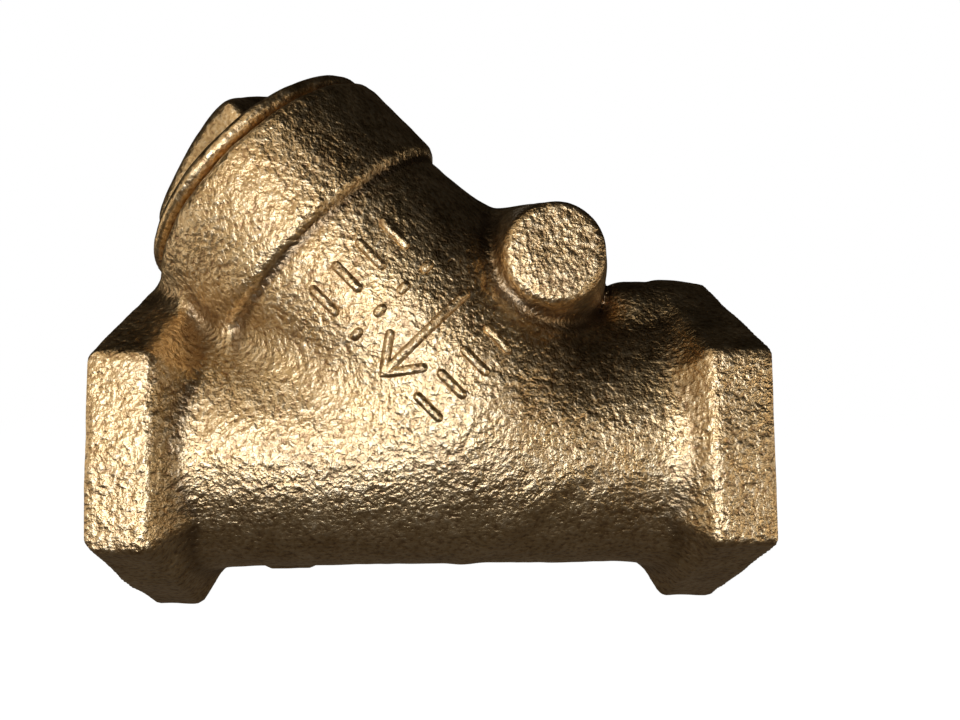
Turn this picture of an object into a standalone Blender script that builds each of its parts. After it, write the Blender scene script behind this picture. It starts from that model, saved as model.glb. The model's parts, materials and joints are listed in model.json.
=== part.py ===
"""Y-pattern swing check valve for 3/4 inch pipe, as separate solids.

Millimetres in the constants, metres in the scene. The run lies along X with
the inlet at +X, the neck leans towards the outlet and the cap is on top. The
origin is the middle of the inlet mouth. Every turned piece of the neck is
drawn on the neck axis, where "height" is the distance up from the run axis.
"""

from math import cos, pi, radians, sin, sqrt, tau

import bmesh
import bpy
from mathutils import Matrix, Vector

MM = 0.001
CLEARANCE = 0.3  # between neighbours that touch on the real valve

# run: barrel and threaded ends
LENGTH = 75.0
HEX_FLATS = 37.0
HEX_LENGTH = 6.8
HEX_EDGE = 0.6
BARREL_RADIUS = 16.1
BARREL_HALF = LENGTH / 2 - HEX_LENGTH + 1.0
FLARE_LENGTH = 3.2
SOCKET_RADIUS = 12.4  # mean radius of the 3/4 inch pipe thread
SOCKET_DEPTH = 14.0
SOCKET_MOUTH = 13.6
PASSAGE_RADIUS = 11.4

# neck: its axis leaves the run axis at NECK_X from the middle of the run
NECK_X = 11.1
NECK_TILT = radians(44)
NECK_ROOT_RADIUS = 15.6
NECK_RADIUS = 18.2
COLLAR_RADIUS = 19.3
COLLAR_BOTTOM = 34.8
NECK_TOP = 47.2
NECK_BORE = 14.9  # mean radius of the cap thread
CAVITY_RADIUS = 14.6
CAVITY_FLOOR_RADIUS = 13.3
CAVITY_STEP = 9.0

# seat, square to the neck axis
SEAT_HEIGHT = 3.2
PORT_RADIUS = 9.5
SEAT_LAND_RADIUS = 11.3
WEB_HALF = 2.0

# hinge pin, along Y, placed from the middle of the run
PIN_X, PIN_Z = 13.8, 22.0
PIN_RADIUS = 2.0
PIN_HALF = 12.4
HOUSING_RADIUS = 9.6
BOSS_RADIUS = 5.9
BOSS_REACH = 17.0
SADDLE_HALF = 6.5
GUSSET_RADIUS = 7.6
GUSSET_HEIGHT = 13.8
GUSSET_START = PIN_X + 6
POCKET_RADIUS = 6.4
POCKET_HALF = 6.6
PLUG_RADIUS = 3.6
PLUG_INNER = 12.8
PLUG_TOP = BOSS_REACH + 1.6
PLUG_SLOT = 1.2  # its width and its depth

# disc and its stem, heights on the neck axis
DISC_RADIUS = 11.9
FACING_RADIUS = 11.0
FACING_BOTTOM = SEAT_HEIGHT + CLEARANCE
FACING_TOP = 5.9
PLATE_BOTTOM, PLATE_TOP = 6.2, 8.6
SKIRT_BOTTOM = 4.4
STEM_RADIUS = 2.5
STEM_TOP = 18.6
STUD_RADIUS = 2.0
STUD_BOTTOM = -1.6
SEAT_WASHER_RADIUS = 6.6
SEAT_WASHER_THICKNESS = 1.1
SEAT_NUT_FLATS = 7.0
SEAT_NUT_THICKNESS = 2.6

# hanger
HANGER_BOTTOM, HANGER_TOP = 8.9, 11.9
HANGER_RING = 4.9
EYE_RADIUS = 4.3
EYE_HALF = 6.0
ARM_HALF = 3.6
ARM_BEND = 7.5  # where the arm's top starts to climb, short of the eye

# castle nut and split pin
WASHER_BOTTOM, WASHER_TOP = 12.2, 13.0
NUT_BOTTOM, NUT_TOP = 13.3, 17.6
NUT_FLATS = 8.0
SLOT_FLOOR = 15.4
SLOT_WIDTH = 1.7
COTTER_RADIUS = 0.5
COTTER_HEIGHT = 16.5
COTTER_REACH = NUT_FLATS / sqrt(3) + 0.9
COTTER_LOOP = 0.9

# cap
CAP_THREAD_RADIUS = NECK_BORE - CLEARANCE
CAP_BORE = 11.6
CAP_SKIRT_BOTTOM = 36.2
CAP_CEILING = 49.2
RIM_BOTTOM = NECK_TOP + CLEARANCE
RIM_TOP = 49.9
RIM_RADIUS = 18.2
RIM_EDGE = 1.0
GROOVE_INNER, GROOVE_OUTER, GROOVE_TOP = 15.2, 17.0, 48.6
HEAD_FLATS = 20.5
HEAD_TAPER = 0.92
HEAD_TOP = 55.6
HEAD_EDGE = 1.0
HEAD_TURN = radians(-77.5)

RUN_MIDDLE = Vector((-LENGTH / 2 * MM, 0, 0))
NECK_FRAME = (
    Matrix.Translation(RUN_MIDDLE + Vector((NECK_X * MM, 0, 0)))
    @ Matrix.Rotation(-NECK_TILT, 4, "Y")
)
RUN_FRAME = Matrix.Translation(RUN_MIDDLE) @ Matrix.Rotation(pi / 2, 4, "Y")
SIDE_FRAME = Matrix.Translation(RUN_MIDDLE) @ Matrix.Rotation(pi / 2, 4, "X")
PIN_FRAME = (
    Matrix.Translation(RUN_MIDDLE + Vector((PIN_X * MM, 0, PIN_Z * MM)))
    @ Matrix.Rotation(-pi / 2, 4, "X")
)


def clear_scene():
    for old in list(bpy.data.objects):
        bpy.data.objects.remove(old, do_unlink=True)


def metal(name, colour, roughness, metallic=1.0):
    material = bpy.data.materials.new(name)
    material.use_nodes = True
    shader = material.node_tree.nodes["Principled BSDF"]
    shader.inputs["Base Color"].default_value = (*colour, 1)
    shader.inputs["Roughness"].default_value = roughness
    shader.inputs["Metallic"].default_value = metallic
    return material


def finish_mesh(name, mesh_data, frame, material=None):
    """An object at FRAME from a bmesh in millimetres, its faces turned outwards."""
    bmesh.ops.remove_doubles(mesh_data, verts=mesh_data.verts, dist=1e-4)
    bmesh.ops.recalc_face_normals(mesh_data, faces=mesh_data.faces)
    bmesh.ops.scale(mesh_data, vec=(MM, MM, MM), verts=mesh_data.verts)
    mesh = bpy.data.meshes.new(name)
    mesh_data.to_mesh(mesh)
    mesh_data.free()
    mesh.shade_smooth()
    mesh.set_sharp_from_angle(angle=radians(30))
    made = bpy.data.objects.new(name, mesh)
    bpy.context.collection.objects.link(made)
    made.matrix_world = frame
    if material:
        mesh.materials.append(material)
    return made


def turned(name, outline, frame, material=None, steps=48):
    """A solid of revolution about Z from its outline, a loop of (radius, height)."""
    shape = bmesh.new()
    corners = [shape.verts.new((radius, 0, height)) for radius, height in outline]
    edges = [shape.edges.new((a, b)) for a, b in zip(corners, corners[1:] + corners[:1])]
    bmesh.ops.spin(
        shape,
        geom=corners + edges,
        cent=(0, 0, 0),
        axis=(0, 0, 1),
        angle=tau,
        steps=steps,
        use_merge=True,
    )
    return finish_mesh(name, shape, frame, material)


def ring(inner, outer, bottom, top):
    return [(inner, bottom), (outer, bottom), (outer, top), (inner, top)]


def rod(radius, bottom, top):
    return ring(0, radius, bottom, top)


def extruded(name, outline, low, high, frame, material=None, taper=1.0):
    """A prism along Z from its outline, a loop of (x, y), its far end scaled by TAPER."""
    shape = bmesh.new()
    face = shape.faces.new([shape.verts.new((x, y, low)) for x, y in outline])
    pushed = bmesh.ops.extrude_face_region(shape, geom=[face])["geom"]
    top = [item for item in pushed if isinstance(item, bmesh.types.BMVert)]
    bmesh.ops.translate(shape, verts=top, vec=(0, 0, high - low))
    bmesh.ops.scale(shape, verts=top, vec=(taper, taper, 1))
    return finish_mesh(name, shape, frame, material)


def polygon(sides, flats, turn=0.0):
    """The corners of a regular polygon of this width across flats, the first one at TURN."""
    reach = flats / 2 / cos(pi / sides)
    turns = [turn + k * tau / sides for k in range(sides)]
    return [(reach * cos(t), reach * sin(t)) for t in turns]


def arc(centre, radius, start, end, steps):
    turns = [start + (end - start) * k / steps for k in range(steps + 1)]
    return [(centre[0] + radius * cos(t), centre[1] + radius * sin(t)) for t in turns]


def bevelled(made, width, segments=2):
    bevel = made.modifiers.new("edges", "BEVEL")
    bevel.width = width * MM
    bevel.segments = segments
    bevel.limit_method = "ANGLE"
    bevel.angle_limit = radians(40)
    return made


def boolean(made, operation, other):
    """Joins or cuts with a helper, which stays out of the model."""
    other.hide_render = True
    other.display_type = "WIRE"
    step = made.modifiers.new(other.name, "BOOLEAN")
    step.operation = operation
    step.solver = "EXACT"
    step.object = other
    return made


def join(made, *helpers):
    for helper in helpers:
        boolean(made, "UNION", helper)


def cut(made, *helpers):
    for helper in helpers:
        boolean(made, "DIFFERENCE", helper)


def moved(frame, x=0.0, y=0.0, z=0.0):
    return frame @ Matrix.Translation((x * MM, y * MM, z * MM))


def slab(name, low, high):
    """A block wider than the valve, square to the neck axis, that keeps a cutter off the seat web."""
    corners = [(-60, -30), (60, -30), (60, 30), (-60, 30)]
    return extruded(name, corners, low, high, NECK_FRAME)


def add_casting_shapes(body):
    """Hexagonal ends, neck with its collar, and the hinge housing with two bosses."""
    for side, name in ((1, "inlet"), (-1, "outlet")):
        # the run frame's X points down, so two corners of each hexagon point up and down
        end = extruded(
            f"{name}_hexagon",
            polygon(6, HEX_FLATS),
            side * LENGTH / 2,
            side * (LENGTH / 2 - HEX_LENGTH),
            RUN_FRAME,
        )
        bevelled(end, HEX_EDGE)
        join(body, end)
    neck = turned(
        "neck_outside",
        [
            (0, -4.0),
            (NECK_ROOT_RADIUS - 1.2, -4.0),
            (NECK_ROOT_RADIUS, 0.0),
            (NECK_RADIUS - 0.6, 7.0),
            (NECK_RADIUS, 14.0),
            (NECK_RADIUS, COLLAR_BOTTOM - 0.6),
            (COLLAR_RADIUS, COLLAR_BOTTOM + 0.8),
            (COLLAR_RADIUS, NECK_TOP - 0.5),
            (COLLAR_RADIUS - 0.5, NECK_TOP),
            (0, NECK_TOP),
        ],
        NECK_FRAME,
        steps=56,
    )
    housing = turned(
        "hinge_housing",
        [
            (0, -BOSS_REACH),
            (BOSS_RADIUS - 0.5, -BOSS_REACH),
            (BOSS_RADIUS, -BOSS_REACH + 0.5),
            (HOUSING_RADIUS - 0.8, -6.0),
            (HOUSING_RADIUS, -2.0),
            (HOUSING_RADIUS, 2.0),
            (HOUSING_RADIUS - 0.8, 6.0),
            (BOSS_RADIUS, BOSS_REACH - 0.5),
            (BOSS_RADIUS - 0.5, BOSS_REACH),
            (0, BOSS_REACH),
        ],
        PIN_FRAME,
        steps=40,
    )
    # a saddle fills the angle between the neck and the hinge housing along the top
    saddle_outline = [(0.5, 36.0), (4.0, 32.9), (8.0, 31.0), (13.8, 30.4), (13.8, 22.0), (4.0, 24.0)]
    saddle = extruded("saddle", saddle_outline, -SADDLE_HALF, SADDLE_HALF, SIDE_FRAME)
    # a round-backed gusset runs from the housing to the inlet hexagon's top corner
    gusset_outline = rod(GUSSET_RADIUS, GUSSET_START, BARREL_HALF)
    gusset = turned("gusset", gusset_outline, moved(RUN_FRAME, x=-GUSSET_HEIGHT))
    join(body, neck, housing, saddle, gusset)


def cut_water_way(body):
    """Threaded sockets, the passages, the port through the seat web and the neck cavity."""
    half = LENGTH / 2
    for side, name in ((1, "inlet"), (-1, "outlet")):
        mouth = [
            (0, side * (half + 1)),
            (SOCKET_MOUTH + 1, side * (half + 1)),
            (SOCKET_RADIUS, side * (half - (SOCKET_MOUTH - SOCKET_RADIUS))),
            (SOCKET_RADIUS, side * (half - SOCKET_DEPTH)),
            (PASSAGE_RADIUS, side * (half - SOCKET_DEPTH)),
            (PASSAGE_RADIUS, side * (half - SOCKET_DEPTH - 0.6)),
            (0, side * (half - SOCKET_DEPTH - 0.6)),
        ]
        cut(body, turned(f"{name}_socket", mouth, RUN_FRAME))
    inlet_way = turned("inlet_way", rod(PASSAGE_RADIUS, -12, half - SOCKET_DEPTH), RUN_FRAME)
    cut(inlet_way, slab("above_web_underside", -WEB_HALF, 60))
    outlet_way = turned("outlet_way", rod(PASSAGE_RADIUS, SOCKET_DEPTH - half, 0), RUN_FRAME)
    cut(outlet_way, slab("below_web_top", -60, WEB_HALF))
    port = turned("port", rod(PORT_RADIUS, -WEB_HALF - 3, SEAT_HEIGHT + 3), NECK_FRAME)
    cavity = turned(
        "neck_cavity",
        [
            (0, SEAT_HEIGHT),
            (SEAT_LAND_RADIUS - 0.3, SEAT_HEIGHT),
            (SEAT_LAND_RADIUS, SEAT_HEIGHT - 0.3),
            (SEAT_LAND_RADIUS, WEB_HALF),
            (CAVITY_FLOOR_RADIUS, WEB_HALF),
            (CAVITY_FLOOR_RADIUS, CAVITY_STEP - 1.3),
            (CAVITY_RADIUS, CAVITY_STEP),
            (CAVITY_RADIUS, COLLAR_BOTTOM),
            (NECK_BORE, COLLAR_BOTTOM + 0.3),
            (NECK_BORE, NECK_TOP - 0.7),
            (NECK_BORE + 1.7, NECK_TOP + 1),
            (0, NECK_TOP + 1),
        ],
        NECK_FRAME,
    )
    cut(body, cavity, outlet_way, inlet_way, port)


def cut_hinge_pocket(body):
    """The pocket round the hanger's eye, the blind pin hole and the plug's hole."""
    reach = CAVITY_RADIUS - 4
    to_cavity = NECK_FRAME.inverted() @ PIN_FRAME.translation / MM
    half = POCKET_HALF
    pocket = turned("hinge_pocket", rod(POCKET_RADIUS, -half, half), PIN_FRAME, steps=32)
    throat = extruded(
        "pocket_throat",
        [(reach, -half), (to_cavity.x, -half), (to_cavity.x, half), (reach, half)],
        to_cavity.z - POCKET_RADIUS,
        to_cavity.z + POCKET_RADIUS,
        NECK_FRAME,
    )
    pin_hole = turned(
        "pin_hole",
        [
            (0, -PIN_HALF - 0.5),
            (PIN_RADIUS + 0.25, -PIN_HALF - 0.5),
            (PIN_RADIUS + 0.25, PLUG_INNER - CLEARANCE),
            (PLUG_RADIUS + CLEARANCE, PLUG_INNER - CLEARANCE),
            (PLUG_RADIUS + CLEARANCE, BOSS_REACH + 1),
            (0, BOSS_REACH + 1),
        ],
        PIN_FRAME,
        steps=24,
    )
    cut(body, pocket, throat, pin_hole)


def make_body(material):
    half = BARREL_HALF
    flare = half - FLARE_LENGTH
    body = turned(
        "body",
        [
            (0, -half),
            (HEX_FLATS / 2 - 0.2, -half),
            (BARREL_RADIUS + 0.6, -flare - 1),
            (BARREL_RADIUS, -flare + 1),
            (BARREL_RADIUS, flare - 1),
            (BARREL_RADIUS + 0.6, flare + 1),
            (HEX_FLATS / 2 - 0.2, half),
            (0, half),
        ],
        RUN_FRAME,
        material,
        steps=56,
    )
    add_casting_shapes(body)
    cut_water_way(body)
    cut_hinge_pocket(body)


def make_cap(material):
    cap = turned(
        "cap",
        [
            (0, CAP_CEILING),
            (CAP_BORE - 1, CAP_CEILING),
            (CAP_BORE, CAP_CEILING - 1),
            (CAP_BORE, CAP_SKIRT_BOTTOM),
            (CAP_THREAD_RADIUS - 0.6, CAP_SKIRT_BOTTOM),
            (CAP_THREAD_RADIUS, CAP_SKIRT_BOTTOM + 0.6),
            (CAP_THREAD_RADIUS, RIM_BOTTOM),
            (GROOVE_INNER, RIM_BOTTOM),
            (GROOVE_INNER, GROOVE_TOP),
            (GROOVE_OUTER, GROOVE_TOP),
            (GROOVE_OUTER, RIM_BOTTOM),
            (RIM_RADIUS - 0.3, RIM_BOTTOM),
            (RIM_RADIUS, RIM_BOTTOM + 0.5),
            (RIM_RADIUS, RIM_TOP - RIM_EDGE),
            (RIM_RADIUS - RIM_EDGE * 0.3, RIM_TOP - RIM_EDGE * 0.3),
            (RIM_RADIUS - RIM_EDGE, RIM_TOP),
            (0, RIM_TOP),
        ],
        NECK_FRAME,
        material,
        steps=56,
    )
    square = polygon(4, HEAD_FLATS, HEAD_TURN)
    head = extruded("cap_head", square, RIM_TOP - 1, HEAD_TOP, NECK_FRAME, taper=HEAD_TAPER)
    join(cap, bevelled(head, HEAD_EDGE))


def make_gasket(material):
    outline = ring(
        GROOVE_INNER + CLEARANCE,
        GROOVE_OUTER - CLEARANCE,
        RIM_BOTTOM,
        GROOVE_TOP - CLEARANCE,
    )
    turned("cap_gasket", outline, NECK_FRAME, material)


def make_pin_and_plug(pin_material, plug_material):
    edge = 0.4
    pin = [
        (0, -PIN_HALF),
        (PIN_RADIUS - edge, -PIN_HALF),
        (PIN_RADIUS, -PIN_HALF + edge),
        (PIN_RADIUS, PLUG_INNER - 0.6 - edge),
        (PIN_RADIUS - edge, PLUG_INNER - 0.6),
        (0, PLUG_INNER - 0.6),
    ]
    turned("hinge_pin", pin, PIN_FRAME, pin_material, steps=24)
    plug = turned(
        "hinge_pin_plug",
        [
            (0, PLUG_INNER),
            (PLUG_RADIUS - edge, PLUG_INNER),
            (PLUG_RADIUS, PLUG_INNER + edge),
            (PLUG_RADIUS, PLUG_TOP - edge),
            (PLUG_RADIUS - edge, PLUG_TOP),
            (0, PLUG_TOP),
        ],
        PIN_FRAME,
        plug_material,
        steps=32,
    )
    half = PLUG_SLOT / 2
    corners = [(-5, -half), (5, -half), (5, half), (-5, half)]
    cut(plug, extruded("plug_slot", corners, PLUG_TOP - PLUG_SLOT, PLUG_TOP + 1, PIN_FRAME))


def make_disc(material, facing_material):
    turned(
        "disc_holder",
        [
            (0, STUD_BOTTOM),
            (STUD_RADIUS - 0.3, STUD_BOTTOM),
            (STUD_RADIUS, STUD_BOTTOM + 0.3),
            (STUD_RADIUS, PLATE_BOTTOM),
            (FACING_RADIUS + CLEARANCE, PLATE_BOTTOM),
            (FACING_RADIUS + CLEARANCE, SKIRT_BOTTOM),
            (DISC_RADIUS, SKIRT_BOTTOM),
            (DISC_RADIUS, PLATE_TOP - 1.0),
            (DISC_RADIUS - 0.6, PLATE_TOP - 0.4),
            (STEM_RADIUS + 1.6, PLATE_TOP),
            (STEM_RADIUS, PLATE_TOP + 0.1),
            (STEM_RADIUS, STEM_TOP - 0.4),
            (STEM_RADIUS - 0.4, STEM_TOP),
            (0, STEM_TOP),
        ],
        NECK_FRAME,
        material,
    )
    holder = bpy.data.objects["disc_holder"]
    hole = turned(
        "cotter_hole",
        rod(COTTER_RADIUS + 0.25, -4, 4),
        moved(NECK_FRAME, z=COTTER_HEIGHT) @ Matrix.Rotation(pi / 2, 4, "Y"),
        steps=16,
    )
    cut(holder, hole)
    facing = ring(STUD_RADIUS + CLEARANCE, FACING_RADIUS, FACING_BOTTOM, FACING_TOP)
    turned("seat_disc", facing, NECK_FRAME, facing_material)


def make_disc_fasteners(material):
    washer_top = FACING_BOTTOM - CLEARANCE
    washer_bottom = washer_top - SEAT_WASHER_THICKNESS
    nut_top = washer_bottom - CLEARANCE
    nut_bottom = nut_top - SEAT_NUT_THICKNESS
    washer = ring(STUD_RADIUS + CLEARANCE, SEAT_WASHER_RADIUS, washer_bottom, washer_top)
    turned("seat_disc_washer", washer, NECK_FRAME, material, steps=32)
    nut = extruded("seat_disc_nut", polygon(6, SEAT_NUT_FLATS), nut_bottom, nut_top, NECK_FRAME, material)
    bore = rod(STUD_RADIUS + CLEARANCE, nut_bottom - 1, nut_top + 1)
    cut(nut, turned("seat_nut_hole", bore, NECK_FRAME, steps=24))


def make_hanger(material):
    """A ring round the disc's stem and an eye on the pin, joined by a bent arm."""
    eye = NECK_FRAME.inverted() @ PIN_FRAME.translation / MM
    eye_at = (eye.x, eye.z)
    outline = [(0, HANGER_BOTTOM), (eye.x - EYE_RADIUS - 0.3, HANGER_BOTTOM)]
    outline += arc(eye_at, EYE_RADIUS, radians(-80), radians(120), 12)
    outline += [
        (eye.x - EYE_RADIUS - 0.9, HANGER_TOP + 1.6),
        (eye.x - ARM_BEND, HANGER_TOP),
        (0, HANGER_TOP),
    ]
    side_frame = NECK_FRAME @ Matrix.Rotation(pi / 2, 4, "X")
    hanger = extruded("disc_hanger", outline, -ARM_HALF, ARM_HALF, side_frame, material)
    stem_ring = turned(
        "hanger_ring", rod(HANGER_RING, HANGER_BOTTOM, HANGER_TOP), NECK_FRAME, steps=40
    )
    eye_barrel = turned("hanger_eye", rod(EYE_RADIUS, -EYE_HALF, EYE_HALF), PIN_FRAME, steps=32)
    stem_hole = turned(
        "stem_hole", rod(STEM_RADIUS + 0.3, HANGER_BOTTOM - 1, HANGER_TOP + 1), NECK_FRAME, steps=32
    )
    eye_hole = turned("eye_hole", rod(PIN_RADIUS + 0.3, -9, 9), PIN_FRAME, steps=24)
    join(hanger, stem_ring, eye_barrel)
    cut(hanger, stem_hole, eye_hole)
    # the hanger turns on the pin, so its origin lies on the pin's axis
    world = hanger.matrix_world.copy()
    shift = Matrix.Translation(PIN_FRAME.translation)
    hanger.data.transform(shift.inverted() @ world)
    hanger.matrix_world = shift


def make_castle_nut(material):
    washer = ring(STEM_RADIUS + CLEARANCE, HANGER_RING - 0.4, WASHER_BOTTOM, WASHER_TOP)
    turned("hanger_washer", washer, NECK_FRAME, material, steps=32)
    nut = extruded("hanger_nut", polygon(6, NUT_FLATS), NUT_BOTTOM, NUT_TOP, NECK_FRAME, material)
    bore = rod(STEM_RADIUS + CLEARANCE, NUT_BOTTOM - 1, NUT_TOP + 1)
    cut(nut, turned("castle_hole", bore, NECK_FRAME, steps=32))
    for k in range(3):
        half = SLOT_WIDTH / 2
        slot = extruded(
            f"castle_slot_{k}",
            [(-9, -half), (9, -half), (9, half), (-9, half)],
            SLOT_FLOOR,
            NUT_TOP + 1,
            NECK_FRAME @ Matrix.Rotation(k * pi / 3, 4, "Z"),
        )
        cut(nut, slot)


def make_cotter(material):
    """A split pin through the stem: a loop at one end and two bent legs at the other."""
    curve = bpy.data.curves.new("cotter_pin", "CURVE")
    curve.dimensions = "3D"
    curve.bevel_depth = COTTER_RADIUS * MM
    curve.bevel_resolution = 2
    curve.use_fill_caps = True
    reach = COTTER_REACH
    path = [(-reach - 1.2, 1.5), (-reach - 0.5, 0.5), (-reach + 0.4, 0.0)]
    path += [(0.0, 0.0), (reach - 0.6, 0.0)]
    path += arc((reach + 0.5, 0.0), COTTER_LOOP, radians(150), radians(-120), 8)
    spline = curve.splines.new("POLY")
    spline.points.add(len(path) - 1)
    for point, (along, across) in zip(spline.points, path):
        point.co = (along * MM, across * MM, 0, 1)
    pin = bpy.data.objects.new("cotter_pin", curve)
    bpy.context.collection.objects.link(pin)
    pin.matrix_world = moved(NECK_FRAME, z=COTTER_HEIGHT)
    curve.materials.append(material)


def main():
    clear_scene()
    cast_bronze = metal("cast_bronze", (0.36, 0.235, 0.11), 0.42)
    turned_bronze = metal("turned_bronze", (0.62, 0.43, 0.2), 0.28)
    steel = metal("stainless_steel", (0.6, 0.59, 0.57), 0.3)
    facing = metal("white_facing", (0.82, 0.81, 0.77), 0.5, 0.0)
    fibre = metal("fibre_gasket", (0.05, 0.045, 0.04), 0.8, 0.0)
    make_body(cast_bronze)
    make_cap(cast_bronze)
    make_gasket(fibre)
    make_pin_and_plug(steel, turned_bronze)
    make_hanger(turned_bronze)
    make_disc(turned_bronze, facing)
    make_disc_fasteners(turned_bronze)
    make_castle_nut(turned_bronze)
    make_cotter(steel)


main()
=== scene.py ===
"""Looks of a 3/4 inch bronze Y-pattern swing check valve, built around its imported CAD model.

Shapes are drawn in millimetres. The run lies along X, and places on it are measured
from its middle. Pieces of the neck are drawn in the neck's own frame, whose Z is the
neck axis ("height") and whose Y is the valve's Y. The casting, the cap and the hanger
are distance fields turned into meshes, so that their fillets flow as cast ones do, and
everything machined is cut into them with crisp tools.
"""

import json
from math import cos, pi, radians, sin, sqrt, tau

import bmesh
import bpy
import numpy as np
import openvdb
from mathutils import Matrix, Vector


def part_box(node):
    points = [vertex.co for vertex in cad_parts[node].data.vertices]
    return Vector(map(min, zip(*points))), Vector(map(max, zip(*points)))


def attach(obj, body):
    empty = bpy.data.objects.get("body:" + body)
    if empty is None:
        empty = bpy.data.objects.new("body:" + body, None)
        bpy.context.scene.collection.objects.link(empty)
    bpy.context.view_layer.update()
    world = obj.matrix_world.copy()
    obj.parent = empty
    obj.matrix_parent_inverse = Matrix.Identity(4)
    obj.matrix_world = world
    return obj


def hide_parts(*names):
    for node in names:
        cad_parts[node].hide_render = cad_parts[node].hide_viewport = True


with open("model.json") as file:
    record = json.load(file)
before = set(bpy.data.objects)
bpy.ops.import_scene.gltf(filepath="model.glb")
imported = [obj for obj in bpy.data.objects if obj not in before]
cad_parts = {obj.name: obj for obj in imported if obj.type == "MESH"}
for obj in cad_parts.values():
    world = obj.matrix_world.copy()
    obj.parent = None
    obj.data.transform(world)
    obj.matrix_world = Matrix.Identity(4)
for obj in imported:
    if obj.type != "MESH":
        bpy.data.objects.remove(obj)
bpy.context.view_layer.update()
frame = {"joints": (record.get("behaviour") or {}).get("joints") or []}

MM = 0.001

# ------------ places from the frame
JOINTS = {joint["name"]: joint for joint in frame["joints"]}
BODY_LOW, BODY_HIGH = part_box("body")
LENGTH = (BODY_HIGH.x - BODY_LOW.x) / MM
HALF = LENGTH / 2
RUN_MIDDLE = Vector(((BODY_LOW.x + BODY_HIGH.x) / 2, 0, 0))
COLLAR_RADIUS = BODY_HIGH.y / MM
HEX_FLATS = 37.0  # two corners of each hexagon point up and down

NECK_AXIS = Vector(JOINTS["cap_turn"]["axis"])
NECK_FOOT = Vector(JOINTS["cap_turn"]["pos_m"])
NECK_ACROSS = Vector((NECK_AXIS.z, 0, -NECK_AXIS.x))
PIN_PLACE = Vector(JOINTS["disc_swing"]["pos_m"])


def frame_of(origin, x_axis, z_axis):
    """A local frame: columns X, Y = Z x X, Z, in metres."""
    y_axis = z_axis.cross(x_axis)
    rows = zip(x_axis, y_axis, z_axis, origin)
    return Matrix([*rows, (0, 0, 0, 1)])


NECK_FRAME = frame_of(NECK_FOOT, NECK_ACROSS, NECK_AXIS)
PIN_FRAME = frame_of(PIN_PLACE, Vector((1, 0, 0)), Vector((0, 1, 0)))
INLET_FRAME = frame_of(RUN_MIDDLE, Vector((0, 0, -1)), Vector((1, 0, 0)))
OUTLET_FRAME = frame_of(RUN_MIDDLE, Vector((0, 0, -1)), Vector((-1, 0, 0)))
NECK_X = (NECK_FOOT.x - RUN_MIDDLE.x) / MM
PIN_X, PIN_Z = (PIN_PLACE.x - RUN_MIDDLE.x) / MM, PIN_PLACE.z / MM
EYE = NECK_FRAME.inverted() @ PIN_PLACE / MM  # the pin, in the neck's frame

# ------------ sizes, millimetres
BARREL_RADIUS = 16.1
HEX_LENGTH = 6.8
HEX_DRAFT = 0.7  # lean of the hexagons' inner sides
FLARE_HEIGHT = 2.3
INLET_FLARE, OUTLET_FLARE = 8.0, 5.8

NECK_ROOT_RADIUS, NECK_RADIUS = 15.6, 18.2
COLLAR_BOTTOM = 34.8
NECK_TOP = 47.2

BOSS_RADIUS, HOUSING_RADIUS, BOSS_REACH = 5.9, 9.7, 17.0
GUSSET_RADIUS, GUSSET_HEIGHT, GUSSET_START = 7.8, 13.8, 23.1

SOCKET_DEPTH = 14.0
SOCKET_MOUTH = 13.6
PASSAGE_RADIUS = 11.4
PIPE_PITCH = 25.4 / 14
PIPE_PITCH_RADIUS = 12.56
PIPE_TAPER = 1 / 32
PIPE_THREAD_DEPTH = 1.3

CAP_PITCH = 25.4 / 16
CAP_THREAD_DEPTH = 0.9
NECK_BORE = 14.9
CAVITY_RADIUS, CAVITY_FLOOR_RADIUS, CAVITY_STEP = 14.6, 13.3, 9.0
SEAT_HEIGHT, SEAT_LAND_RADIUS, PORT_RADIUS, WEB_HALF = 3.2, 11.3, 9.5, 2.0
POCKET_RADIUS, POCKET_HALF = 6.4, 6.6
PIN_RADIUS, PIN_HALF = 2.0, 12.4
PLUG_RADIUS, PLUG_INNER, PLUG_TOP = 3.6, 12.8, 18.6
PLUG_PITCH, PLUG_THREAD_DEPTH, PLUG_SLOT = 0.941, 0.5, 1.2

CAP_BORE, CAP_SKIRT_BOTTOM, CAP_CEILING = 11.6, 36.2, 49.2
RIM_BOTTOM, RIM_TOP, RIM_RADIUS = 47.5, 49.9, 18.2
GROOVE_INNER, GROOVE_OUTER, GROOVE_TOP = 15.2, 17.0, 48.6
HEAD_FLATS, HEAD_TAPER, HEAD_TOP, HEAD_CORNER, HEAD_OFFSET = 21.0, 0.045, 55.6, 1.8, 0.25
HEAD_TURN = radians(-77.5)

GASKET_INNER, GASKET_OUTER, GASKET_TOP = 15.5, 16.7, 48.3
STUD_RADIUS, STUD_BOTTOM = 2.0, -1.6
STEM_RADIUS, STEM_TOP = 2.5, 18.6
FACING_RADIUS, FACING_BOTTOM, FACING_TOP = 11.0, 3.5, 5.9
DISC_RADIUS, SKIRT_BOTTOM, PLATE_BOTTOM, PLATE_TOP = 11.9, 4.4, 6.2, 8.6
SEAT_WASHER_RADIUS, SEAT_WASHER_BOTTOM, SEAT_WASHER_TOP = 6.6, 2.1, 3.2
SEAT_NUT_FLATS, SEAT_NUT_BOTTOM, SEAT_NUT_TOP = 7.0, -0.8, 1.8
HANGER_BOTTOM, HANGER_TOP, HANGER_RING = 8.9, 11.9, 4.9
EYE_RADIUS, EYE_HALF, ARM_HALF = 4.3, 6.0, 3.6
WASHER_BOTTOM, WASHER_TOP, WASHER_RADIUS = 12.2, 13.0, 4.5
NUT_BOTTOM, NUT_TOP, NUT_FLATS = 13.3, 17.6, 8.0
SLOT_FLOOR, SLOT_HALF = 15.4, 0.85
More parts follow.
